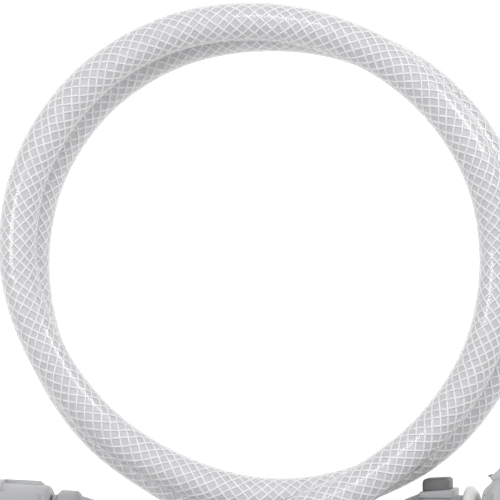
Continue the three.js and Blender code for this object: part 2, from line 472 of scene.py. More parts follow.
@dataclass(frozen=True)
class MilkyWall(Finish):
    """The hose's inner wall: cloudy PVC that lets some of what lies behind it through. Its even white glow
    is painted light, standing in for light scattered inside the hose and lifting its shaded lower turn.
    """

    weave: Weave
    title: str = "milky_pvc_wall"
    colour: Colour = (0.72, 0.715, 0.745)
    hollow: Colour = (0.61, 0.605, 0.64)
    haze_share: float = 0.6
    relief_share: float = 0.4
    relief_depth: float = 0.2
    roughness: float = 0.35
    haze_roughness: float = 0.1
    cover: float = 0.8
    haze_cover: float = 0.1
    # Painted light: an even white glow that brightens the wall, its shaded parts too.
    glow: float = 0.1

    def surface(self, sheet: Sheet) -> bpy.types.Node:
        """Draws the wall.

        Args:
            sheet: the sheet to draw on.

        Returns:
            Its shader.
        """
        haze = self.grain(sheet, 120.0, 3.0)
        relief = self.weave.relief(sheet)
        bright = haze * self.haze_share + relief * self.relief_share
        settings = {
            "Base Color": sheet.blend(bright, self.hollow, self.colour),
            "Roughness": self.roughness + haze * self.haze_roughness,
            "Alpha": self.cover + (haze - 0.5) * self.haze_cover,
            # Painted light: the glow stands in for light scattered inside the hose.
            "Emission Color": WHITE,
            "Emission Strength": self.glow,
            "Normal": self.bump(sheet, relief, 0.4, self.relief_depth),
        }
        return sheet.node("ShaderNodeBsdfPrincipled", {}, settings)


@dataclass(frozen=True)
class BraidYarn(Finish):
    """White polyester yarn, its filaments lying along each strand. A faint white glow is painted light
    that makes the yarns brighter, in place of their glints.
    """

    title: str = "polyester_yarn"
    colour: Colour = (0.95, 0.95, 0.955)
    shade_share: float = 0.9
    filaments: int = 4
    filament_slant: float = 900.0
    filament_depth: float = 0.05
    roughness: float = 0.34
    filament_roughness: float = 0.15
    # Painted light: an even white glow that brightens the yarns.
    glow: float = 0.13

    def surface(self, sheet: Sheet) -> bpy.types.Node:
        """Draws the yarn.

        Args:
            sheet: the sheet to draw on.

        Returns:
            Its shader.
        """
        across = sheet.wire("ShaderNodeAttribute", "Fac", {"attribute_name": "across"})
        along = sheet.wire("ShaderNodeAttribute", "Fac", {"attribute_name": "along"})
        phase = across * (math.pi * self.filaments) + along * self.filament_slant
        fibres = phase.sine() * 0.5 + 0.5
        bright = fibres * 0.5 + self.grain(sheet, 700.0) * 0.5
        shade = tuple(self.shade_share * channel for channel in self.colour)
        settings = {
            "Base Color": sheet.blend(bright, shade, self.colour),
            "Roughness": self.roughness + fibres * self.filament_roughness,
            "Specular IOR Level": 0.8,
            # Painted light: the glow brightens the yarns in place of glints.
            "Emission Color": WHITE,
            "Emission Strength": self.glow,
            "Normal": self.bump(sheet, fibres, 0.5, self.filament_depth),
        }
        return sheet.node("ShaderNodeBsdfPrincipled", {}, settings)


@dataclass(frozen=True)
class PaleSweep(Finish):
    """The floor: white paper, lit so evenly that it shows hardly any shadow."""

    title: str = "pale_sweep"
    colour: Colour = (0.86, 0.86, 0.86)
    fibre_share: float = 0.98
    roughness: float = 0.9
    glow: float = 0.62

    def surface(self, sheet: Sheet) -> bpy.types.Node:
        """Draws the floor.

        Args:
            sheet: the sheet to draw on.

        Returns:
            Its shader.
        """
        fibre = self.grain(sheet, 900.0, 3.0)
        shade = tuple(self.fibre_share * channel for channel in self.colour)
        settings = {
            "Base Color": sheet.blend(fibre, shade, self.colour),
            "Roughness": self.roughness,
            "Emission Color": WHITE,
            "Emission Strength": self.glow,
        }
        return sheet.node("ShaderNodeBsdfPrincipled", {}, settings)


class Piece:
    """Turns lists of points and faces into finished objects of the part."""

    MERGE_DISTANCE = 1e-7

    @staticmethod
    def from_faces(
        name: str, points: Sequence[Vector], faces: Sequence[Sequence[int]]
    ) -> bpy.types.Object:
        """Makes a mesh object from points in metres.

        Args:
            name: the object's name.
            points: its vertices.
            faces: each face's vertices in order.

        Returns:
            The object, with its faces pointing out.
        """
        mesh = bpy.data.meshes.new(name)
        mesh.from_pydata([tuple(point) for point in points], [], [tuple(face) for face in faces])
        return Piece.from_mesh(name, mesh, recalculate=True)

    @staticmethod
    def from_mesh(
        name: str, mesh: bpy.types.Mesh, recalculate: bool = False
    ) -> bpy.types.Object:
        """Makes an object of a mesh.

        Args:
            name: the object's and the mesh's name.
            mesh: the mesh.
            recalculate: whether to merge its doubles and turn its faces outwards.

        Returns:
            The object, linked to the scene.
        """
        if recalculate:
            shell = bmesh.new()
            shell.from_mesh(mesh)
            bmesh.ops.remove_doubles(shell, verts=shell.verts, dist=Piece.MERGE_DISTANCE)
            bmesh.ops.recalc_face_normals(shell, faces=shell.faces)
            shell.to_mesh(mesh)
            shell.free()
        mesh.name = name
        piece = bpy.data.objects.new(name, mesh)
        bpy.context.scene.collection.objects.link(piece)
        return piece

    @staticmethod
    def flattened(piece: bpy.types.Object, name: str) -> bpy.types.Object:
        """Turns an object with modifiers into a plain one.

        Args:
            piece: the object, which is removed.
            name: the new object's name.

        Returns:
            An object with the evaluated mesh and no modifiers.
        """
        bpy.context.view_layer.update()
        graph = bpy.context.evaluated_depsgraph_get()
        mesh = bpy.data.meshes.new_from_object(piece.evaluated_get(graph), depsgraph=graph)
        Piece.discard(piece)
        return Piece.from_mesh(name, mesh)

    @staticmethod
    def discard(piece: bpy.types.Object) -> None:
        """Removes an object and its data from the scene.

        Args:
            piece: the object.
        """
        data = piece.data
        bpy.data.objects.remove(piece)
        if isinstance(data, bpy.types.Mesh) and not data.users:
            bpy.data.meshes.remove(data)

    @staticmethod
    def dress(
        piece: bpy.types.Object,
        material: bpy.types.Material,
        slot: Slot,
        body: Body,
        node: str,
        crease: float | None = 32.0,
    ) -> bpy.types.Object:
        """slot: the record's finish that it takes after; not used.
            body: the body that it moves with.
            node: the CAD node that it stands for.
            crease: edges bent more than this many degrees stay sharp; None is smooth all over.

        Returns:
            The same piece.
        """
        piece.data.materials.clear()
        piece.data.materials.append(material)
        piece.data.polygons.foreach_set("use_smooth", [True] * len(piece.data.polygons))
        if crease is not None:
            piece.data.set_sharp_from_angle(angle=math.radians(crease))
        piece.data.update()
        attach(piece, body.value)
        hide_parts(node)
        log.info("%s: %d faces, rides on %s", piece.name, len(piece.data.polygons), body.value)
        return piece


class Lathe:
    """Turns outlines about a fitting's own axis."""

    LARGEST_SHARE = 0.46
    SHARP_BELOW = 0.02
    LONG_EDGE = 6.0
    GUARD = 0.3

    def __init__(self, sides: int = 144) -> None:
        """Sets how many sides a turned piece has."""
        self.sides = sides

    @staticmethod
    def soften(
        outline: Sequence[tuple[float, ...]], corner: float = 0.3, steps: int = 4
    ) -> Outline:
        """Rounds an outline's corners, with a guard point beside each on a long edge.

        Args:
            outline: a closed outline as (along, diameter) or (along, diameter, corner).
            corner: how far from a corner its rounding starts, where the outline doesn't say.
            steps: how many faces a rounding has.

        Returns:
            The rounded outline as (along, radius).
        """
        points = [Vector((entry[0], entry[1] / 2.0)) for entry in outline]
        result: Outline = []
        for index, here in enumerate(points):
            reach = outline[index][2] if len(outline[index]) > 2 else corner
            before, after = points[index - 1] - here, points[(index + 1) % len(points)] - here
            cut = min(reach, Lathe.LARGEST_SHARE * min(before.length, after.length))
            if cut < Lathe.SHARP_BELOW:
                result.append(tuple(here))
                continue
            first, last = here + before.normalized() * cut, here + after.normalized() * cut
            if before.length > Lathe.LONG_EDGE * cut:
                result.append(tuple(first + before.normalized() * Lathe.GUARD * cut))
            for step in range(steps + 1):
                t = step / steps
                result.append(tuple(first * (1 - t) ** 2 + here * 2 * t * (1 - t) + last * t ** 2))
            if after.length > Lathe.LONG_EDGE * cut:
                result.append(tuple(last + after.normalized() * Lathe.GUARD * cut))
        return result

    def turn(self, name: str, outline: Outline, place: Matrix) -> bpy.types.Object:
        """Turns a closed outline into a ring-shaped piece.

        Args:
            name: the piece's name.
            outline: the outline as (along, radius), which closes on itself.
            place: the fitting's place in the part.

        Returns:
            The turned piece.
        """
        points: list[Vector] = []
        for side in range(self.sides):
            angle = FULL_TURN * side / self.sides
            across, up = math.cos(angle), math.sin(angle)
            points += [place @ Vector((across * r * MM, up * r * MM, z * MM)) for z, r in outline]
        count = len(outline)
        faces = []
        for side in range(self.sides):
            here, there = side * count, ((side + 1) % self.sides) * count
            for index in range(count):
                after = (index + 1) % count
                faces.append((here + index, here + after, there + after, there + index))
        return Piece.from_faces(name, points, faces)


class Block:
    """Makes blocks that stand on the button's side of a fitting."""

    @staticmethod
    def make(
        name: str,
        outline: Sequence[tuple[float, float]],
        width: float,
        place: Matrix,
        bevel: float = 0.0,
        steps: int = 3,
    ) -> bpy.types.Object:
        """Makes a block from its side outline.

        Args:
            name: the block's name.
            outline: corners as (along, height above the axis).
            width: its width across the axis.
            place: the fitting's place in the part.
            bevel: how far its edges are rounded.
            steps: how many faces a rounding has.

        Returns:
            The block.
        """
        shell = bmesh.new()
        side = [shell.verts.new((-width / 2 * MM, up * MM, along * MM)) for along, up in outline]
        face = shell.faces.new(side)
        grown = bmesh.ops.extrude_face_region(shell, geom=[face])["geom"]
        moved = [item for item in grown if isinstance(item, bmesh.types.BMVert)]
        bmesh.ops.translate(shell, verts=moved, vec=(width * MM, 0.0, 0.0))
        if bevel:
            edges = list(shell.edges)
            bmesh.ops.bevel(
                shell, geom=edges, offset=bevel * MM, segments=steps, profile=0.5, affect="EDGES"
            )
        bmesh.ops.recalc_face_normals(shell, faces=shell.faces)
        shell.transform(place)
        mesh = bpy.data.meshes.new(name)
        shell.to_mesh(mesh)
        shell.free()
        return Piece.from_mesh(name, mesh)


class Recipe:
    """A Geometry Nodes tree with named inputs, run once on a carrier and taken off again."""

    KINDS = {
        float: "NodeSocketFloat",
        int: "NodeSocketInt",
        bpy.types.Material: "NodeSocketMaterial",
        bpy.types.Object: "NodeSocketObject",
    }

    def __init__(self, name: str, inputs: Mapping[str, type]) -> None:
        """Starts a tree.

        Args:
            name: the tree's name.
            inputs: the name and type of each input.
        """
        self.tree = bpy.data.node_groups.new(name, "GeometryNodeTree")
        self.sheet = Sheet(self.tree)
        face = self.tree.interface
        face.new_socket("Geometry", in_out="INPUT", socket_type="NodeSocketGeometry")
        for title, kind in inputs.items():
            face.new_socket(title, in_out="INPUT", socket_type=self.KINDS[kind])
        face.new_socket("Geometry", in_out="OUTPUT", socket_type="NodeSocketGeometry")
        self.entry = self.sheet.node("NodeGroupInput")

    def given(self, title: str) -> Wire:
        """The input of this name."""
        return Wire(self.sheet, self.entry.outputs[title])

    def store(self, geometry: Wire, title: str, value: Wire, kind: str = "FLOAT") -> Wire:
        """Keeps a value on the points under a name.

        Args:
            geometry: what has the points.
            title: the attribute's name.
            value: the value.
            kind: its data type.

        Returns:
            The geometry with the value.
        """
        settings = {"data_type": kind, "domain": "POINT"}
        inputs = {"Geometry": geometry, "Name": title, "Value": value}
        return self.sheet.wire("GeometryNodeStoreNamedAttribute", 0, settings, inputs)

    def forget(self, geometry: Wire, *titles: str) -> Wire:
        """Drops what was kept under these names.

        Args:
            geometry: what has the values.
            titles: their names.

        Returns:
            The geometry without them.
        """
        for title in titles:
            inputs = {"Geometry": geometry, "Name": title}
            geometry = self.sheet.wire("GeometryNodeRemoveAttribute", 0, {}, inputs)
        return geometry

    def sweep(self, curve: Wire, profile: Wire, closed: bool) -> Wire:
        """Sweeps a profile along a curve, with its ends closed or left open."""
        inputs = {"Curve": curve, "Profile Curve": profile, "Fill Caps": closed}
        return self.sheet.wire("GeometryNodeCurveToMesh", 0, {}, inputs)

    def circle(self, sides: Union[Wire, int], radius: Union[Wire, float]) -> Wire:
        """A circle of this many sides."""
        inputs = {"Resolution": sides, "Radius": radius}
        return self.sheet.wire("GeometryNodeCurvePrimitiveCircle", 0, {"mode": "RADIUS"}, inputs)

    def joined(self, x: Any, y: Any, z: Any) -> Wire:
        """A vector of three numbers, each a Wire or a value."""
        return self.sheet.wire("ShaderNodeCombineXYZ", 0, {}, {"X": x, "Y": y, "Z": z})

    def recall(self, title: str, kind: str = "FLOAT_VECTOR") -> Wire:
        """The value that was kept under a name."""
        settings = {"data_type": kind}
        return self.sheet.wire("GeometryNodeInputNamedAttribute", 0, settings, {"Name": title})

    def close(self, geometry: Wire) -> "Recipe":
        """Ends the tree in real faces with their material.

        Args:
            geometry: what the tree has made.

        Returns:
            This recipe, ready to run.
        """
        real = self.sheet.wire("GeometryNodeRealizeInstances", 0, {}, {"Geometry": geometry})
        smooth = self.sheet.wire("GeometryNodeSetShadeSmooth", 0, {}, {"Geometry": real})
        inputs = {"Geometry": smooth, "Material": self.given("Material")}
        made = self.sheet.wire("GeometryNodeSetMaterial", 0, {}, inputs)
        self.sheet.node("NodeGroupOutput", {}, {0: made})
        return self

    def run(
        self, name: str, carrier: bpy.types.Object, values: Mapping[str, Any]
    ) -> bpy.types.Object:
        """Runs the tree on a carrier, which stays as it is.

        Args:
            name: the new piece's name.
            carrier: the object that the tree starts from.
            values: a value for each named input.

        Returns:
            A plain mesh object.
        """
        modifier = carrier.modifiers.new(self.tree.name, "NODES")
        modifier.node_group = self.tree
        for item in self.tree.interface.items_tree:
            if item.item_type == "SOCKET" and item.in_out == "INPUT" and item.name in values:
                modifier[item.identifier] = values[item.name]
        bpy.context.view_layer.update()
        graph = bpy.context.evaluated_depsgraph_get()
        mesh = bpy.data.meshes.new_from_object(carrier.evaluated_get(graph), depsgraph=graph)
        carrier.modifiers.remove(modifier)
        return Piece.from_mesh(name, mesh)


class Recipes:
    """The trees for what follows the hose's line or repeats round an axis."""

    YARN_SIDES = 4
    STRAY_ALONG = 70.0
    STRAY_AROUND = 5.0
    THREAD_STEPS = 96
    THREAD_SIDES = 6

    @staticmethod
    def line(recipe: Recipe) -> Wire:
        """Finds the hose's line in the carrier.

        Args:
            recipe: the recipe that needs it.

        Returns:
            The carrier's edges as one curve whose normals don't twist.
        """
        inputs = {"Mesh": recipe.given("Geometry")}
        curve = recipe.sheet.wire("GeometryNodeMeshToCurve", 0, {}, inputs)
        settings = {"mode": "MINIMUM_TWIST"}
        return recipe.sheet.wire("GeometryNodeSetCurveNormal", 0, settings, {"Curve": curve})

    @staticmethod
    def tube() -> Recipe:
        """A tube along the carrier.

        Returns:
            The recipe. Each point knows how far along it lies and where in the ring.
        """
        inputs = {"Radius": float, "Sides": int, "Material": bpy.types.Material}
        recipe = Recipe("tube_along_line", inputs)
        sheet = recipe.sheet
        curve = Recipes.line(recipe)
        normal = sheet.wire("GeometryNodeInputNormal", 0)
        tangent = sheet.wire("GeometryNodeInputTangent", 0)
        curve = recipe.store(curve, "along", sheet.wire("GeometryNodeSplineParameter", "Length"))
        centre = sheet.wire("GeometryNodeInputPosition", 0)
        curve = recipe.store(curve, "centre", centre, "FLOAT_VECTOR")
        curve = recipe.store(curve, "side", normal, "FLOAT_VECTOR")
        curve = recipe.store(curve, "over", tangent.vector("CROSS_PRODUCT", normal), "FLOAT_VECTOR")
        circle = recipe.circle(recipe.given("Sides"), recipe.given("Radius"))
        skin = recipe.sweep(curve, circle, False)
        arm = sheet.wire("GeometryNodeInputPosition", 0)
        arm = arm.vector("SUBTRACT", recipe.recall("centre"))
        ring = recipe.joined(arm.dot(recipe.recall("side")), arm.dot(recipe.recall("over")), 0.0)
        skin = recipe.store(skin, "ring", ring.stretched(1.0 / MM), "FLOAT_VECTOR")
        return recipe.close(recipe.forget(skin, "centre", "side", "over"))

    @staticmethod
    def yarns() -> Recipe:
        """Yarns wound round the carrier.

        Returns:
            The recipe. Each yarn goes over and under those that are wound the other way.
        """
        inputs = {
            "Length": float, "Step": float, "Yarns": int, "Pitch": float, "Radius": float,
            "Rise": float, "Width": float, "Thickness": float, "Unevenness": float,
            "Seed": float, "Material": bpy.types.Material,
        }
        recipe = Recipe("yarns_round_line", inputs)
        sheet, given = recipe.sheet, recipe.given
        carrier = Recipes.line(recipe)
        end = recipe.joined(given("Length"), 0.0, 0.0)
        straight = sheet.wire("GeometryNodeCurvePrimitiveLine", 0, {"mode": "POINTS"}, {"End": end})
        inputs = {"Curve": straight, "Count": given("Length") / given("Step")}
        straight = sheet.wire("GeometryNodeResampleCurve", 0, {"mode": "COUNT"}, inputs)
        inputs = {"Geometry": straight, "Amount": given("Yarns")}
        copies = sheet.node("GeometryNodeDuplicateElements", {"domain": "SPLINE"}, inputs)
        bundle = Wire(sheet, copies.outputs["Geometry"])
        share = Wire(sheet, copies.outputs["Duplicate Index"]) / given("Yarns")
        bundle = recipe.store(bundle, "turn", share * FULL_TURN)
        along, _, _ = sheet.wire("GeometryNodeInputPosition", 0).parts()
        bundle = recipe.store(bundle, "along", along)
        turn, reach = recipe.recall("turn", "FLOAT"), recipe.recall("along", "FLOAT")
        wind = reach / given("Pitch") * FULL_TURN
        spot = recipe.joined(
            reach * Recipes.STRAY_ALONG, turn * Recipes.STRAY_AROUND, given("Seed")
        )
        inputs = {"Vector": spot, "Scale": 1.0, "Detail": 2.0}
        stray = sheet.wire("ShaderNodeTexNoise", 0, {}, inputs) - 0.5
        angle = turn + wind + stray * given("Unevenness")
        settings = {"mode": "LENGTH", "use_all_curves": True}
        inputs = {"Curves": carrier, "Length": reach}
        found = sheet.node("GeometryNodeSampleCurve", settings, inputs)
        centre = Wire(sheet, found.outputs["Position"])
        tangent = Wire(sheet, found.outputs["Tangent"])
        side = Wire(sheet, found.outputs["Normal"])
        over = tangent.vector("CROSS_PRODUCT", side)
        outward = side.stretched(angle.cosine()).vector("ADD", over.stretched(angle.sine()))
        weave = (wind * given("Yarns")).cosine() * given("Rise")
        place = centre.vector("ADD", outward.stretched(given("Radius") + weave))
        bundle = recipe.store(bundle, "outward", outward, "FLOAT_VECTOR")
        inputs = {"Geometry": bundle, "Position": place}
        bundle = sheet.wire("GeometryNodeSetPosition", 0, {}, inputs)
        inputs = {"Curve": bundle, "Normal": recipe.recall("outward")}
        bundle = sheet.wire("GeometryNodeSetCurveNormal", 0, {"mode": "FREE"}, inputs)
        circle = recipe.circle(Recipes.YARN_SIDES, 0.5)
        _, sideways, _ = sheet.wire("GeometryNodeInputPosition", 0).parts()
        circle = recipe.store(circle, "across", sideways)
        size = recipe.joined(given("Thickness"), given("Width"), 1.0)
        section = sheet.wire("GeometryNodeTransform", 0, {}, {"Geometry": circle, "Scale": size})
        skin = recipe.sweep(bundle, section, True)
        return recipe.close(recipe.forget(skin, "turn", "outward"))

    @staticmethod
    def wheel() -> Recipe:
        """Copies of one rib round an axis.

        Returns:
            The recipe, which stands on its own zero.
        """
        inputs = {
            "Rib": bpy.types.Object, "Count": int, "Turn": float, "Material": bpy.types.Material,
        }
        recipe = Recipe("ribs_round_axis", inputs)
        sheet, given = recipe.sheet, recipe.given
        rib = sheet.wire("GeometryNodeObjectInfo", "Geometry", {}, {"Object": given("Rib")})
        points = sheet.wire("GeometryNodePoints", 0, {}, {"Count": given("Count")})
        index = sheet.wire("GeometryNodeInputIndex", 0)
        angle = index / given("Count") * FULL_TURN + given("Turn")
        inputs = {"Points": points, "Instance": rib, "Rotation": recipe.joined(0.0, 0.0, angle)}
        return recipe.close(sheet.wire("GeometryNodeInstanceOnPoints", 0, {}, inputs))

    @staticmethod
    def thread() -> Recipe:
        """An internal screw thread.

        Returns:
            The recipe, which stands on its own zero.
        """
        inputs = {
            "Turns": float, "Pitch": float, "Root": float, "Depth": float,
            "Material": bpy.types.Material,
        }
        recipe = Recipe("thread_on_axis", inputs)
        sheet, given = recipe.sheet, recipe.given
        inputs = {
            "Resolution": Recipes.THREAD_STEPS, "Rotations": given("Turns"),
            "Start Radius": given("Root"), "End Radius": given("Root"),
            "Height": given("Turns") * given("Pitch"),
        }
        spiral = sheet.wire("GeometryNodeCurveSpiral", 0, {}, inputs)
        spiral = sheet.wire("GeometryNodeSetCurveNormal", 0, {"mode": "Z_UP"}, {"Curve": spiral})
        ridge = recipe.circle(Recipes.THREAD_SIDES, given("Depth"))
        return recipe.close(recipe.sweep(spiral, ridge, True))


@dataclass(frozen=True)
class Mouth:
    """Where a fitting's hose mouth lies in the part and the way it points."""

    x: float
    y: float
    z: float
    heading: float
    pitch: float

    def place(self) -> Matrix:
        """The fitting's place, with its own Z along its axis and its own Y level to the left.

        Returns:
            A matrix from the fitting's own metres to the part's.
        """
        heading, pitch = math.radians(self.heading), math.radians(self.pitch)
        level = math.cos(pitch)
        along = Vector((math.cos(heading) * level, math.sin(heading) * level, math.sin(pitch)))
        left = Vector((-math.sin(heading), math.cos(heading), 0.0))
        across = left.cross(along)
        turn = Matrix((across, left, along)).transposed().to_4x4()
        return Matrix.Translation(Vector((self.x, self.y, self.z)) * MM) @ turn


@dataclass
class HoseLine:
    """The hose's line: two turns of a coil and the tails that lead to the fittings."""

    machine_mouth: Mouth
    tap_mouth: Mouth
    middle: tuple[float, float, float] = (-3.0149958, 11.0778976, 0.0427097)
    hose_diameter: float = 16.0
    turn_gap: float = 0.5
    straight_lead: float = 9.0
    connector_inset: float = 12.6
    ferrule_inset: float = 17.8
    first_angle: float = 225.0
    stations_per_turn: int = 16
    samples: int = 16
    climb_start: int = 11
    climb: tuple[float, ...] = (0.6, 3.7, 9.7, 14.2, 15.4)
    radii: tuple[float, ...] = (
        97.7, 97.2, 96.9, 97.5, 97.5, 97.0, 96.7, 98.9, 101.8, 103.9, 105.0, 105.1,
        102.9, 98.4, 95.3, 92.8, 93.5, 96.3, 100.9, 103.5, 103.9, 102.6, 100.0, 98.4,
        97.6, 97.4, 96.5, 96.4, 96.3, 98.4,
    )
    tap_tail: tuple[tuple[float, float, float], ...] = (
        (34.5, -106.1, 0.8), (13.5, -106.0, 0.0), (-8.0, -103.8, 0.0), (-26.0, -97.8, 0.0),
        (-42.0, -89.3, 0.0),
    )
    machine_tail: tuple[tuple[float, float, float], ...] = (
        (19.0, -99.3, 28.2), (11.0, -102.9, 28.1), (3.0, -105.6, 27.3), (-5.0, -107.7, 25.7),
        (-12.0, -108.9, 23.6), (-20.0, -109.6, 20.9), (-29.0, -109.7, 17.9),
        (-38.0, -109.3, 15.6), (-48.0, -108.9, 13.9),
    )

    def on_floor(self, x: float, y: float, above: float) -> Vector:
        """A point on the hose's line, this far above a hose that lies on the floor."""
        return (Vector((x, y, self.hose_diameter / 2 + above)) + Vector(self.middle)) * MM

    def lift(self, station: int) -> float:
        """How high a station of the coil lies above a hose on the floor.

        Args:
            station: its number, counted from the tap tail.

        Returns:
            Its height in millimetres: the second turn rests on the first.
        """
        below = station - self.stations_per_turn
        if below < 0:
            step = station - self.climb_start
            return self.climb[step] if 0 <= step < len(self.climb) else 0.0
        aside = self.radii[station] - self.radii[below]
        return self.lift(below) + math.sqrt((self.hose_diameter + self.turn_gap) ** 2 - aside ** 2)

    def stations(self) -> list[Vector]:
        """The points that the line passes through.

        Returns:
            Points in metres from the tap end to the machine end.
        """
        tap, machine = self.tap_mouth.place(), self.machine_mouth.place()
        steps = (self.connector_inset, 0.0, -self.straight_lead)
        points = [tap @ Vector((0.0, 0.0, step * MM)) for step in steps]
        points += [self.on_floor(*point) for point in self.tap_tail]
        for station, radius in enumerate(self.radii):
            angle = math.radians(self.first_angle) - FULL_TURN * station / self.stations_per_turn
            x, y = radius * math.cos(angle), radius * math.sin(angle)
            points.append(self.on_floor(x, y, self.lift(station)))
        points += [self.on_floor(*point) for point in self.machine_tail]
        steps = (-self.straight_lead, 0.0, self.ferrule_inset)
        points += [machine @ Vector((0.0, 0.0, step * MM)) for step in steps]
        return points

    def points(self) -> list[Vector]:
        """The line's points, close together, on a smooth curve through its stations.

        Returns:
            Points in metres from the tap end to the machine end.
        """
        stations = self.stations()
        ends = [2 * stations[0] - stations[1], *stations, 2 * stations[-1] - stations[-2]]
        result = []
        for p0, p1, p2, p3 in zip(ends, ends[1:], ends[2:], ends[3:]):
            d0, d1, d2 = ((b - a).length ** 0.5 for a, b in ((p0, p1), (p1, p2), (p2, p3)))
            start = ((p1 - p0) / d0 - (p2 - p0) / (d0 + d1) + (p2 - p1) / d1) * d1
            stop = ((p2 - p1) / d1 - (p3 - p1) / (d1 + d2) + (p3 - p2) / d2) * d1
            square = -3 * p1 + 3 * p2 - 2 * start - stop
            cube = 2 * p1 - 2 * p2 + start + stop
            for step in range(self.samples):
                t = step / self.samples
                result.append(p1 + start * t + (square * t ** 2 + cube * t ** 3))
        result.append(stations[-1])
        return result

    def carrier(self) -> bpy.types.Object:
        """Makes an object whose edges are the line, for the trees that follow it.

        Returns:
            The object.
        """
        points = self.points()
        mesh = bpy.data.meshes.new("hose_line_carrier")
        edges = [(index, index + 1) for index in range(len(points) - 1)]
        mesh.from_pydata([tuple(point) for point in points], edges, [])
        return Piece.from_mesh("hose_line_carrier", mesh)


@dataclass
class BraidedHose:
    """The hose itself: jacket, yarns and inner wall."""

    line: HoseLine
    weave: Weave = field(default_factory=Weave)
    diameter: float = 16.0
    bore: float = 10.0
    wall_diameter: float = 14.0
    jacket_sides: int = 48
    wall_sides: int = 36
    yarn_step: float = 1.4
    seed: float = 7.0
    real_length_m: float = 1.409

    def build(self, machine_pieces: Sequence[bpy.types.Object]) -> None:
        """Args:
            machine_pieces: the pieces on its far end; not used.
        """
        carrier = self.line.carrier()
        points = self.line.points()
        length = sum((b - a).length for a, b in zip(points, points[1:]))
        log.info("hose line: %.1f mm", length / MM)
        tube, yarns = Recipes.tube(), Recipes.yarns()
        skin = ClearSkin(self.weave).material()
        sizes = {"Radius": self.diameter / 2 * MM, "Sides": self.jacket_sides, "Material": skin}
        jacket = tube.run("hose_jacket", carrier, sizes)
        milk = MilkyWall(self.weave).material()
        sizes = {"Radius": self.wall_diameter / 2 * MM, "Sides": self.wall_sides, "Material": milk}
        wall = tube.run("hose_inner_wall", carrier, sizes)
        solid = wall.modifiers.new("wall", "SOLIDIFY")
        solid.thickness = (self.wall_diameter - self.bore) / 2 * MM
        solid.offset = -1.0
        wall = Piece.flattened(wall, "hose_inner_wall")
        yarn = BraidYarn().material()
        dressed = [(jacket, skin), (wall, milk)]
        for winding in Winding:
            sizes = {
                "Length": length,
                "Step": self.yarn_step * MM,
                "Yarns": self.weave.yarns,
                "Pitch": winding.value * self.weave.pitch * MM,
                "Radius": self.weave.radius * MM,
                "Rise": winding.value * self.weave.rise * MM,
                "Width": self.weave.yarn_width * MM,
                "Thickness": self.weave.yarn_thickness * MM,
                "Unevenness": self.weave.unevenness,
                "Seed": self.seed + winding.value,
                "Material": yarn,
            }
            dressed.append((yarns.run(f"braid_{winding.name.lower()}", carrier, sizes), yarn))
        for piece, material in dressed:
            Piece.dress(piece, material, Slot.HOSE, Body.HOSE_LINE, "hose", None)
        Piece.discard(carrier)


@dataclass(frozen=True)
class PipeThread:
    """A three-quarter inch pipe thread as the nuts carry it."""

    crest: float = 24.1
    root: float = 26.3
    pitch: float = 1.814


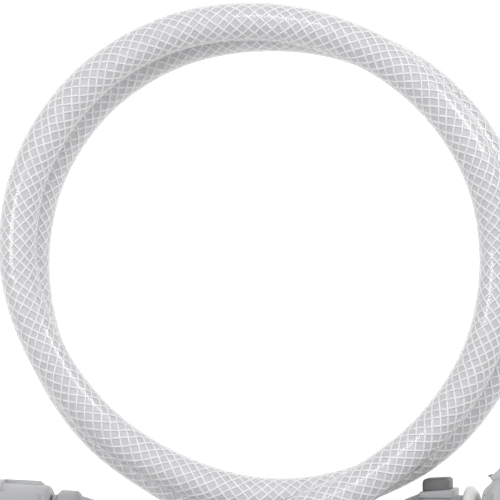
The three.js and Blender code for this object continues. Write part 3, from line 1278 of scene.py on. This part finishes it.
@dataclass(frozen=True)
class ThreadedEnd:
    """The sizes that both threaded ends share, and the outlines made from them."""

    thread: PipeThread = field(default_factory=PipeThread)
    back_wall: float = 3.0
    neck: float = 14.0
    flange: float = 23.2
    flange_thickness: float = 2.5
    washer: float = 23.4
    washer_hole: float = 11.0
    washer_thickness: float = 3.0
    neck_bore: float = 9.0
    waterway: float = 6.6
    barb: float = 8.4
    barb_rise: float = 0.25
    barb_pitch: float = 3.2
    barb_count: int = 3
    barb_ramp: float = 0.9
    barb_back: float = 0.1
    barb_corner: float = 0.08
    barb_recess: float = 2.5
    seat_gap: float = 0.3
    running_gap: float = 0.3
    chamfer: float = 0.8

    def flange_face(self, nut_back: float) -> float:
        """How far along the flange's face is."""
        return nut_back + self.back_wall + self.running_gap + self.flange_thickness

    def neck_outline(self, start: float, nut_back: float) -> Corners:
        """The neck's and flange's outline.

        Args:
            start: how far along the neck starts.
            nut_back: how far along the nut's back is.

        Returns:
            Corners from the neck's start to the flange's bore.
        """
        face = self.flange_face(nut_back)
        back = face - self.flange_thickness
        return [
            (start, self.neck), (back, self.neck, 0.5), (back, self.flange),
            (face, self.flange), (face, self.neck_bore),
        ]

    def barbs(self, cut_end: float) -> Corners:
        """The barbed spigot's outline.

        Args:
            cut_end: how far along the hose ends on it.

        Returns:
            Corners from its tip to the hose's cut end.
        """
        outline: Corners = [(self.barb_recess, self.barb - 2 * self.barb_rise)]
        for index in range(self.barb_count):
            foot = self.barb_recess + self.barb_pitch * (index + self.barb_ramp)
            outline.append((foot, self.barb + 2 * self.barb_rise, self.barb_corner))
            outline.append((foot + self.barb_back * self.barb_pitch, self.barb, self.barb_corner))
        outline.append((cut_end + self.seat_gap, self.barb))
        return outline

    def washer_ring(
        self, name: str, nut_back: float, place: Matrix, lathe: Lathe
    ) -> bpy.types.Object:
        """Makes the washer that lies on the flange.

        Args:
            name: the washer's name.
            nut_back: how far along the nut's back is.
            place: the fitting's place in the part.
            lathe: what turns it.

        Returns:
            The washer.
        """
        back = self.flange_face(nut_back) + self.seat_gap
        face = back + self.washer_thickness
        outline = [
            (back, self.washer, 0.5), (face, self.washer, 0.5),
            (face, self.washer_hole, 0.4), (back, self.washer_hole, 0.4),
        ]
        return lathe.turn(name, Lathe.soften(outline), place)

    def nut_bore(self, back: float, length: float) -> Corners:
        """The inside of a nut.

        Args:
            back: how far along the nut's back is.
            length: the nut's length.

        Returns:
            Corners from its mouth down to the hole in its back wall.
        """
        end, wall = back + length, back + self.back_wall
        hole = self.neck + 2 * self.running_gap
        return [
            (end, self.thread.root + 2 * self.chamfer, 0.2),
            (end - self.chamfer, self.thread.root, 0.2),
            (wall, self.thread.root, 0.3), (wall, hole, 0.3), (back, hole, 0.3),
        ]

    def thread_turns(
        self,
        name: str,
        nut_back: float,
        nut_end: float,
        place: Matrix,
        material: bpy.types.Material,
    ) -> bpy.types.Object:
        """Makes the thread inside a nut.

        Args:
            name: the thread's name.
            nut_back: how far along the nut's back is.
            nut_end: how far along its mouth is.
            place: the fitting's place in the part.
            material: the nut's plastic.

        Returns:
            The thread, in its place.
        """
        washer_face = self.flange_face(nut_back) + self.seat_gap + self.washer_thickness
        start = washer_face + self.thread.pitch
        carrier = Piece.from_mesh(name + "_carrier", bpy.data.meshes.new(name))
        sizes = {
            "Turns": (nut_end - 2 * self.chamfer - start) / self.thread.pitch,
            "Pitch": self.thread.pitch * MM,
            "Root": self.thread.root / 2 * MM,
            "Depth": (self.thread.root - self.thread.crest) / 2 * MM,
            "Material": material,
        }
        piece = Recipes.thread().run(name, carrier, sizes)
        piece.data.transform(place @ Matrix.Translation((0.0, 0.0, start * MM)))
        Piece.discard(carrier)
        return piece


@dataclass
class MachineEnd:
    """The washing machine's end: ferrule, tail, washer and union nut."""

    mouth: Mouth
    ends: ThreadedEnd
    inset: float = 17.8
    ferrule_mouth: float = 21.0
    skirt: float = 24.8
    skirt_length: float = 7.4
    collar: float = 28.8
    collar_length: float = 8.4
    collar_inset: float = 8.3
    end_wall: float = 1.1
    chamfer: float = 0.8
    nut_gap: float = 0.6
    nut_length: float = 23.0
    nut_diameter: float = 32.4
    nut_corner: float = 3.6
    nut_shoulder: tuple[tuple[float, float, float], ...] = (
        (0.0, 2.0, 0.5), (0.0, 1.2, 0.5), (0.12, 0.7, 0.6), (0.45, 0.12, 0.8), (0.8, 0.0, 0.8),
    )
    rim: float = 35.2
    rim_length: float = 3.4
    rib_count: int = 6
    rib_width: float = 5.0
    rib_inset: float = 3.4
    rib_turn: float = 192.0
    rib_root: float = 1.4
    rib_slope: float = 2.0
    rib_drop: float = 1.2
    rib_bevel: float = 0.45
    hose_sleeve: float = 16.6

    @property
    def nut_back(self) -> float:
        """How far along the union nut's back is."""
        return self.inset + self.ends.seat_gap + self.end_wall + self.nut_gap

    def ferrule_outline(self) -> Outline:
        """The ferrule's outline.

        Returns:
            Points up its outside and down its inside.
        """
        collar_end = self.collar_inset + self.collar_length
        end = self.inset + self.ends.seat_gap + self.end_wall
        hole = self.ends.neck + 2 * self.ends.seat_gap
        shoulder = self.collar - 2 * self.chamfer
        return Lathe.soften([
            (0.0, self.ferrule_mouth, 0.5), (self.skirt_length, self.skirt, 0.5),
            (self.collar_inset, shoulder, 0.3), (self.collar_inset + self.chamfer, self.collar, 0.5),
            (collar_end - self.chamfer, self.collar, 0.5), (collar_end, shoulder, 0.3),
            (collar_end + self.chamfer, self.skirt, 0.3), (end, self.skirt, 0.3), (end, hole, 0.2),
            (end - self.end_wall, hole, 0.2), (end - self.end_wall, self.hose_sleeve),
            (self.ends.seat_gap, self.hose_sleeve, 0.1), (0.0, self.hose_sleeve + self.ends.seat_gap, 0.1),
        ])

    def tail_outline(self) -> Outline:
        """The hose tail's outline.

        Returns:
            Points along its barbs, neck and flange and back through its bore.
        """
        ends, start = self.ends, self.inset + self.ends.seat_gap
        return Lathe.soften([
            *ends.barbs(self.inset), *ends.neck_outline(start, self.nut_back),
            (start, ends.neck_bore), (start, ends.waterway), (ends.barb_recess, ends.waterway),
        ], 0.25)

    def nut_outline(self) -> Outline:
        """The union nut's outline.

        Returns:
            Points along a rounded back, a straight wall and a rim, and down its bore.
        """
        back, end = self.nut_back, self.nut_back + self.nut_length
        rim, corner = end - self.rim_length, self.nut_corner
        return Lathe.soften([
            *(
                (back + along * corner, self.nut_diameter - narrower * corner, rounding)
                for along, narrower, rounding in self.nut_shoulder
            ),
            (rim, self.nut_diameter, 0.4), (rim + self.chamfer, self.rim, 0.5),
            (end - self.chamfer, self.rim, 0.5), (end, self.rim - 2 * self.chamfer, 0.3),
            *self.ends.nut_bore(back, self.nut_length),
        ])

    def build(self) -> list[bpy.types.Object]:
        """Makes and dresses the machine end's pieces.

        Returns:
            The pieces, all of which sit at the hose's far end.
        """
        place, lathe, dress = self.mouth.place(), Lathe(), Piece.dress
        grey = MouldedPlastic("ferrule_grey_plastic", Shade.FERRULE).material()
        pale = MouldedPlastic("nut_grey_plastic", Shade.UNION_NUT, gloss_roughness=0.38).material()
        rubber = MouldedRubber().material()
        line, nut = Body.HOSE_LINE, Body.MACHINE_NUT
        end = self.nut_back + self.nut_length
        washer = self.ends.washer_ring("machine_washer_ring", self.nut_back, place, lathe)
        ferrule = lathe.turn("machine_ferrule_sleeve", self.ferrule_outline(), place)
        tail = lathe.turn("machine_tail_spigot", self.tail_outline(), place)
        shell = lathe.turn("union_nut_shell", self.nut_outline(), place)
        thread = self.ends.thread_turns("union_nut_thread", self.nut_back, end, place, pale)
        return [
            dress(ferrule, grey, Slot.FITTING, line, "machine_ferrule"),
            dress(tail, grey, Slot.FITTING, line, "machine_tail"),
            dress(washer, rubber, Slot.WASHER, line, "machine_washer"),
            dress(shell, pale, Slot.NUT, nut, "union_nut"),
            dress(thread, pale, Slot.NUT, nut, "union_nut"),
            dress(self.ribs(place, pale), pale, Slot.NUT, nut, "union_nut"),
        ]

    def ribs(self, place: Matrix, material: bpy.types.Material) -> bpy.types.Object:
        """Makes the grip ribs round the union nut.

        Args:
            place: the fitting's place in the part.
            material: the nut's plastic.

        Returns:
            All the ribs as one mesh.
        """
        start = self.nut_back + self.rib_inset
        stop = self.nut_back + self.nut_length - self.rim_length + self.chamfer
        low, high = self.nut_diameter / 2 - self.rib_root, self.rim / 2
        outline = [
            (start, low), (stop, low), (stop, high),
            (start + self.rib_slope, high), (start, high - self.rib_drop),
        ]
        straight = Matrix.Identity(4)
        rib = Block.make("union_nut_rib", outline, self.rib_width, straight, self.rib_bevel)
        sizes = {
            "Rib": rib,
            "Count": self.rib_count,
            "Turn": math.radians(self.rib_turn),
            "Material": material,
        }
        carrier = Piece.from_mesh("rib_carrier", bpy.data.meshes.new("rib_carrier"))
        ribs = Recipes.wheel().run("union_nut_ribs", carrier, sizes)
        ribs.data.transform(place)
        Piece.discard(carrier)
        Piece.discard(rib)
        return ribs


@dataclass
class TapEnd:
    """The tap's end: push-button connector, nipple, washer and tap nut."""

    mouth: Mouth
    ends: ThreadedEnd
    inset: float = 12.6
    connector_mouth: float = 18.4
    taper_length: float = 8.9
    barrel: float = 25.6
    barrel_length: float = 12.8
    collar: float = 22.4
    collar_length: float = 2.9
    boss_height: float = 14.0
    boss_width: float = 17.0
    boss_start: float = 7.2
    boss_slope: float = 1.2
    boss_root: float = 1.0
    boss_bevel: float = 0.7
    button_start: float = 8.1
    button_length: float = 11.2
    button_width: float = 12.0
    button_top: float = 18.6
    button_depth: float = 6.3
    button_corner: float = 1.5
    button_slope: float = 0.7
    button_travel: float = 2.2
    socket_depth: float = 10.0
    stem: float = 12.0
    disc: float = 30.6
    disc_length: float = 6.3
    disc_outline: tuple[tuple[float, float, float], ...] = (
        (0.0, 0.72, 0.2), (0.11, 0.94, 0.6), (0.3, 1.0, 0.6),
        (0.55, 0.985, 0.8), (0.87, 0.85, 0.9), (1.0, 0.61, 0.6),
    )
    nipple_neck: float = 2.1
    nut_length: float = 24.0
    nut_diameter: float = 36.8
    nut_back_diameter: float = 28.0
    nut_cone: float = 4.5
    lobe_count: int = 6
    lobe_height: float = 5.6
    lobe_width: float = 6.0
    lobe_inset: float = 2.0
    lobe_corner: float = 3.0
    lobe_root: float = 2.0
    lobe_back_rise: float = 1.0
    lobe_shoulder: float = 1.7
    lobe_bend: float = 1.3
    lobe_bevel: float = 0.5
    arc_steps: int = 5
    hose_sleeve: float = 16.6

    @property
    def barrel_end(self) -> float:
        """How far along the connector's barrel ends."""
        return self.taper_length + self.barrel_length

    @property
    def connector_end(self) -> float:
        """How far along the connector ends."""
        return self.barrel_end + self.collar_length

    @property
    def disc_start(self) -> float:
        """How far along the nipple's disc starts."""
        return self.connector_end + self.ends.seat_gap

    @property
    def nut_back(self) -> float:
        """How far along the tap nut's back is."""
        return self.disc_start + self.disc_length + self.nipple_neck

    def connector_outline(self) -> Outline:
        """The connector's turned outline.

        Returns:
            Points up its outside and down its inside.
        """
        ends, end = self.ends, self.connector_end
        socket = self.stem + 2 * ends.running_gap
        web = end - self.socket_depth
        return Lathe.soften([
            (0.0, self.connector_mouth, 0.5), (self.taper_length, self.barrel, 1.6),
            (self.barrel_end - ends.chamfer, self.barrel, 0.5), (self.barrel_end, self.collar, 0.3),
            (end, self.collar, 0.4), (end, socket, 0.4), (web, socket), (web, ends.waterway),
            (ends.barb_recess, ends.waterway), *ends.barbs(self.inset),
            (self.inset + ends.seat_gap, self.hose_sleeve), (ends.seat_gap, self.hose_sleeve, 0.1),
            (0.0, self.hose_sleeve + ends.seat_gap, 0.1),
        ], 0.25)

    def connector(self, place: Matrix, lathe: Lathe) -> bpy.types.Object:
        """Makes the connector's body with the button's boss and pocket.

        Args:
            place: the fitting's place in the part.
            lathe: what turns its round body.

        Returns:
            The body.
        """
        ends = self.ends
        body = lathe.turn("tap_connector_blank", self.connector_outline(), place)
        root = self.connector_mouth / 2 + self.boss_root
        stop = self.barrel_end - ends.chamfer / 2
        outline = [
            (self.boss_start, root), (stop, root), (stop, self.boss_height),
            (self.boss_start, self.boss_height - self.boss_slope),
        ]
        boss = Block.make("button_boss", outline, self.boss_width, place, self.boss_bevel, 4)
        top = self.button_top
        floor = top - self.button_depth - self.button_travel - ends.seat_gap
        near = self.button_start - ends.running_gap
        far = self.button_start + self.button_length + ends.running_gap
        outline = [(near, floor), (far, floor), (far, top), (near, top)]
        width = self.button_width + 2 * ends.running_gap
        pocket = Block.make("button_pocket", outline, width, place)
        for operation, tool in (("UNION", boss), ("DIFFERENCE", pocket)):
            cut = body.modifiers.new(operation.lower(), "BOOLEAN")
            cut.operation, cut.solver, cut.object = operation, "EXACT", tool
        made = Piece.flattened(body, "tap_connector_body")
        Piece.discard(boss)
        Piece.discard(pocket)
        return made

    def button(self, place: Matrix) -> bpy.types.Object:
        """Makes the push button, its top sloping down towards the hose.

        Args:
            place: the fitting's place in the part.

        Returns:
            The button.
        """
        top, width, corner = self.button_top, self.button_width, self.button_corner
        low = top - self.button_depth
        start, stop = self.button_start, self.button_start + self.button_length
        outline = [(start, low), (stop, low), (stop, top), (start, top - self.button_slope)]
        return Block.make("release_button_cap", outline, width, place, corner, 5)

    def nipple_outline(self) -> Outline:
        """The nipple's outline.

        Returns:
            Points along its stem, rounded disc, neck and flange.
        """
        start, length = self.disc_start, self.disc_length
        bottom = self.connector_end - self.socket_depth + self.ends.seat_gap
        return Lathe.soften([
            (bottom, self.stem, 0.6), (start, self.stem, 0.2),
            *(
                (start + along * length, wide * self.disc, rounding)
                for along, wide, rounding in self.disc_outline
            ),
            *self.ends.neck_outline(start + length, self.nut_back),
            (bottom, self.ends.neck_bore, 0.3),
        ])

    def nut_outline(self) -> Outline:
        """The tap nut's turned outline.

        Returns:
            Points along a cone at its back and a straight wall, and down its bore.
        """
        back, end = self.nut_back, self.nut_back + self.nut_length
        wide, chamfer = self.nut_diameter, self.ends.chamfer
        return Lathe.soften([
            (back, self.nut_back_diameter, 0.5), (back + self.nut_cone, wide, 0.9),
            (end - chamfer, wide, 0.5), (end, wide - 2 * chamfer, 0.3),
            *self.ends.nut_bore(back, self.nut_length),
        ])

    def lobes(self, place: Matrix, material: bpy.types.Material) -> bpy.types.Object:
        """Makes the grip lobes round the tap nut.

        Args:
            place: the fitting's place in the part.
            material: the nut's plastic.

        Returns:
            All the lobes as one mesh.
        """
        back, end = self.nut_back, self.nut_back + self.nut_length - self.ends.chamfer
        wall = self.nut_diameter / 2
        foot, crest = wall - self.lobe_root, wall + self.lobe_height
        corner, inset = self.lobe_corner, self.lobe_inset
        outline = [(back + self.nut_cone, foot), (end, foot), (end, crest - 2 * corner)]
        outline += self.arc((end, crest - 2 * corner), (end, crest), (end - 2 * corner, crest))
        shoulder = (back + inset + self.lobe_shoulder * corner, crest)
        bend = (back + inset + self.lobe_bend * corner, crest - corner)
        heel = (back + inset, wall + self.lobe_back_rise)
        outline += self.arc(shoulder, bend, heel)
        outline.append(heel)
        straight = Matrix.Identity(4)
        lobe = Block.make("tap_nut_lobe", outline, self.lobe_width, straight, self.lobe_bevel)
        sizes = {"Rib": lobe, "Count": self.lobe_count, "Turn": 0.0, "Material": material}
        carrier = Piece.from_mesh("lobe_carrier", bpy.data.meshes.new("lobe_carrier"))
        lobes = Recipes.wheel().run("tap_nut_lobes", carrier, sizes)
        lobes.data.transform(place)
        Piece.discard(carrier)
        Piece.discard(lobe)
        return lobes

    def arc(
        self, start: tuple[float, float], bend: tuple[float, float], stop: tuple[float, float]
    ) -> Outline:
        """Rounds a corner.

        Args:
            start: where the rounding starts, which is left out.
            bend: the corner.
            stop: where it stops.

        Returns:
            Points after start, up to stop.
        """
        first, middle, last = Vector(start), Vector(bend), Vector(stop)
        shares = [step / self.arc_steps for step in range(1, self.arc_steps + 1)]
        return [
            tuple(first * (1 - t) ** 2 + middle * 2 * t * (1 - t) + last * t ** 2) for t in shares
        ]

    def build(self) -> list[bpy.types.Object]:
        """Makes and dresses the tap end's pieces.

        Returns:
            The pieces.
        """
        place, lathe, dress = self.mouth.place(), Lathe(), Piece.dress
        grey = MouldedPlastic("connector_grey_plastic", Shade.CONNECTOR).material()
        pale = MouldedPlastic("tap_nut_grey_plastic", Shade.TAP_NUT, gloss_roughness=0.38).material()
        dark = MouldedPlastic("button_dark_plastic", Shade.BUTTON, gloss_roughness=0.55).material()
        milk = MouldedPlastic(
            "nipple_milky_plastic", Shade.NIPPLE,
            cloud=0.03, gloss_roughness=0.32, grain_depth=0.01, milky=0.4,
        ).material()
        rubber = MouldedRubber("tap_washer_rubber_finish").material()
        line, nut = Body.HOSE_LINE, Body.TAP_NUT
        end = self.nut_back + self.nut_length
        washer = self.ends.washer_ring("tap_washer_ring", self.nut_back, place, lathe)
        thread = self.ends.thread_turns("tap_nut_thread", self.nut_back, end, place, pale)
        connector = self.connector(place, lathe)
        button = self.button(place)
        nipple = lathe.turn("tap_nipple_disc", self.nipple_outline(), place)
        shell = lathe.turn("tap_nut_shell", self.nut_outline(), place)
        return [
            dress(connector, grey, Slot.FITTING, line, "tap_connector"),
            dress(button, dark, Slot.BUTTON, Body.BUTTON, "release_button"),
            dress(nipple, milk, Slot.NIPPLE, line, "tap_nipple"),
            dress(washer, rubber, Slot.WASHER, line, "tap_washer"),
            dress(shell, pale, Slot.NUT, nut, "tap_nut"),
            dress(thread, pale, Slot.NUT, nut, "tap_nut"),
            dress(self.lobes(place, pale), pale, Slot.NUT, nut, "tap_nut"),
        ]


@dataclass(frozen=True)
class SoftLight:
    """A square soft light, with its place and size in metres and its power in watts."""

    name: str
    place: tuple[float, float, float]
    size: float
    power: float

    def hang(self, aim: tuple[float, float, float]) -> None:
        """Hangs the light.

        Args:
            aim: the point it faces.
        """
        data = bpy.data.lights.new(self.name, "AREA")
        data.shape, data.size, data.energy = "SQUARE", self.size, self.power
        light = bpy.data.objects.new(self.name, data)
        light.location = self.place
        facing = Vector(aim) - Vector(self.place)
        light.rotation_euler = facing.to_track_quat("-Z", "Y").to_euler()
        bpy.context.scene.collection.objects.link(light)


@dataclass
class Studio:
    """The camera straight above, the floor and the lights."""

    aim: tuple[float, float] = (-8.80, 17.28)
    height: float = 1400.0
    field_width: float = 206.7
    focus_height: float = 16.0
    sensor: float = 36.0
    floor_reach: float = 2500.0
    floor_drop: float = 0.1
    room_glow: float = 0.45
    light_aim: tuple[float, float, float] = (0.0, 0.01, 0.02)
    soft_lights: tuple[SoftLight, ...] = (
        SoftLight("left_softbox", (-0.80, 0.10, 0.94), 0.32, 5.5),
        SoftLight("right_softbox", (0.88, 0.60, 0.66), 0.35, 6.0),
        SoftLight("far_softbox", (0.05, 0.70, 1.05), 0.26, 3.0),
        SoftLight("overhead_fill", (0.1, -0.1, 1.7), 1.2, 3.0),
    )

    def camera(self) -> None:
        """Hangs the camera over the part, looking straight down with +Y at the top."""
        data = bpy.data.cameras.new("overhead_camera")
        data.sensor_fit, data.sensor_width = "HORIZONTAL", self.sensor
        data.lens = self.sensor * (self.height - self.focus_height) / self.field_width
        data.clip_start, data.clip_end = 0.05, 20.0
        camera = bpy.data.objects.new("overhead_camera", data)
        camera.location = (self.aim[0] * MM, self.aim[1] * MM, self.height * MM)
        bpy.context.scene.collection.objects.link(camera)
        bpy.context.scene.camera = camera

    def floor(self) -> None:
        """Lays the pale floor."""
        reach = self.floor_reach
        square = ((-reach, -reach), (reach, -reach), (reach, reach), (-reach, reach))
        corners = [Vector((x, y, -self.floor_drop)) * MM for x, y in square]
        floor = Piece.from_faces("pale_floor", corners, [(0, 1, 2, 3)])
        floor.data.materials.append(PaleSweep().material())

    def lights(self) -> None:
        """Lights the part softly from three sides, with a fill overhead."""
        for light in self.soft_lights:
            light.hang(self.light_aim)
        world = bpy.data.worlds.new("pale_room")
        world.use_nodes = True
        sheet = Sheet(world.node_tree)
        inputs = {"Color": WHITE, "Strength": self.room_glow}
        back = sheet.node("ShaderNodeBackground", {}, inputs)
        sheet.node("ShaderNodeOutputWorld", {}, {"Surface": Wire(sheet, back.outputs[0])})
        bpy.context.scene.world = world

    def build(self) -> None:
        """Sets up the whole studio."""
        self.camera()
        self.floor()
        self.lights()
        bpy.context.scene.view_settings.view_transform = "Standard"


MACHINE_MOUTH = Mouth(x=-71.2149958, y=-96.8221138, z=20.5296093, heading=177.3, pitch=-4.0)
TAP_MOUTH = Mouth(x=55.4850042, y=-95.1221138, z=12.6681426, heading=0.0, pitch=13.0)


def main() -> None:
    """Builds the studio, the hose and its two ends."""
    logging.basicConfig(level=logging.INFO, format="%(name)s: %(message)s")
    Studio().build()
    ends = ThreadedEnd()
    machine_pieces = MachineEnd(MACHINE_MOUTH, ends).build()
    TapEnd(TAP_MOUTH, ends).build()
    BraidedHose(HoseLine(MACHINE_MOUTH, TAP_MOUTH)).build(machine_pieces)


if __name__ == "__main__":
    main()
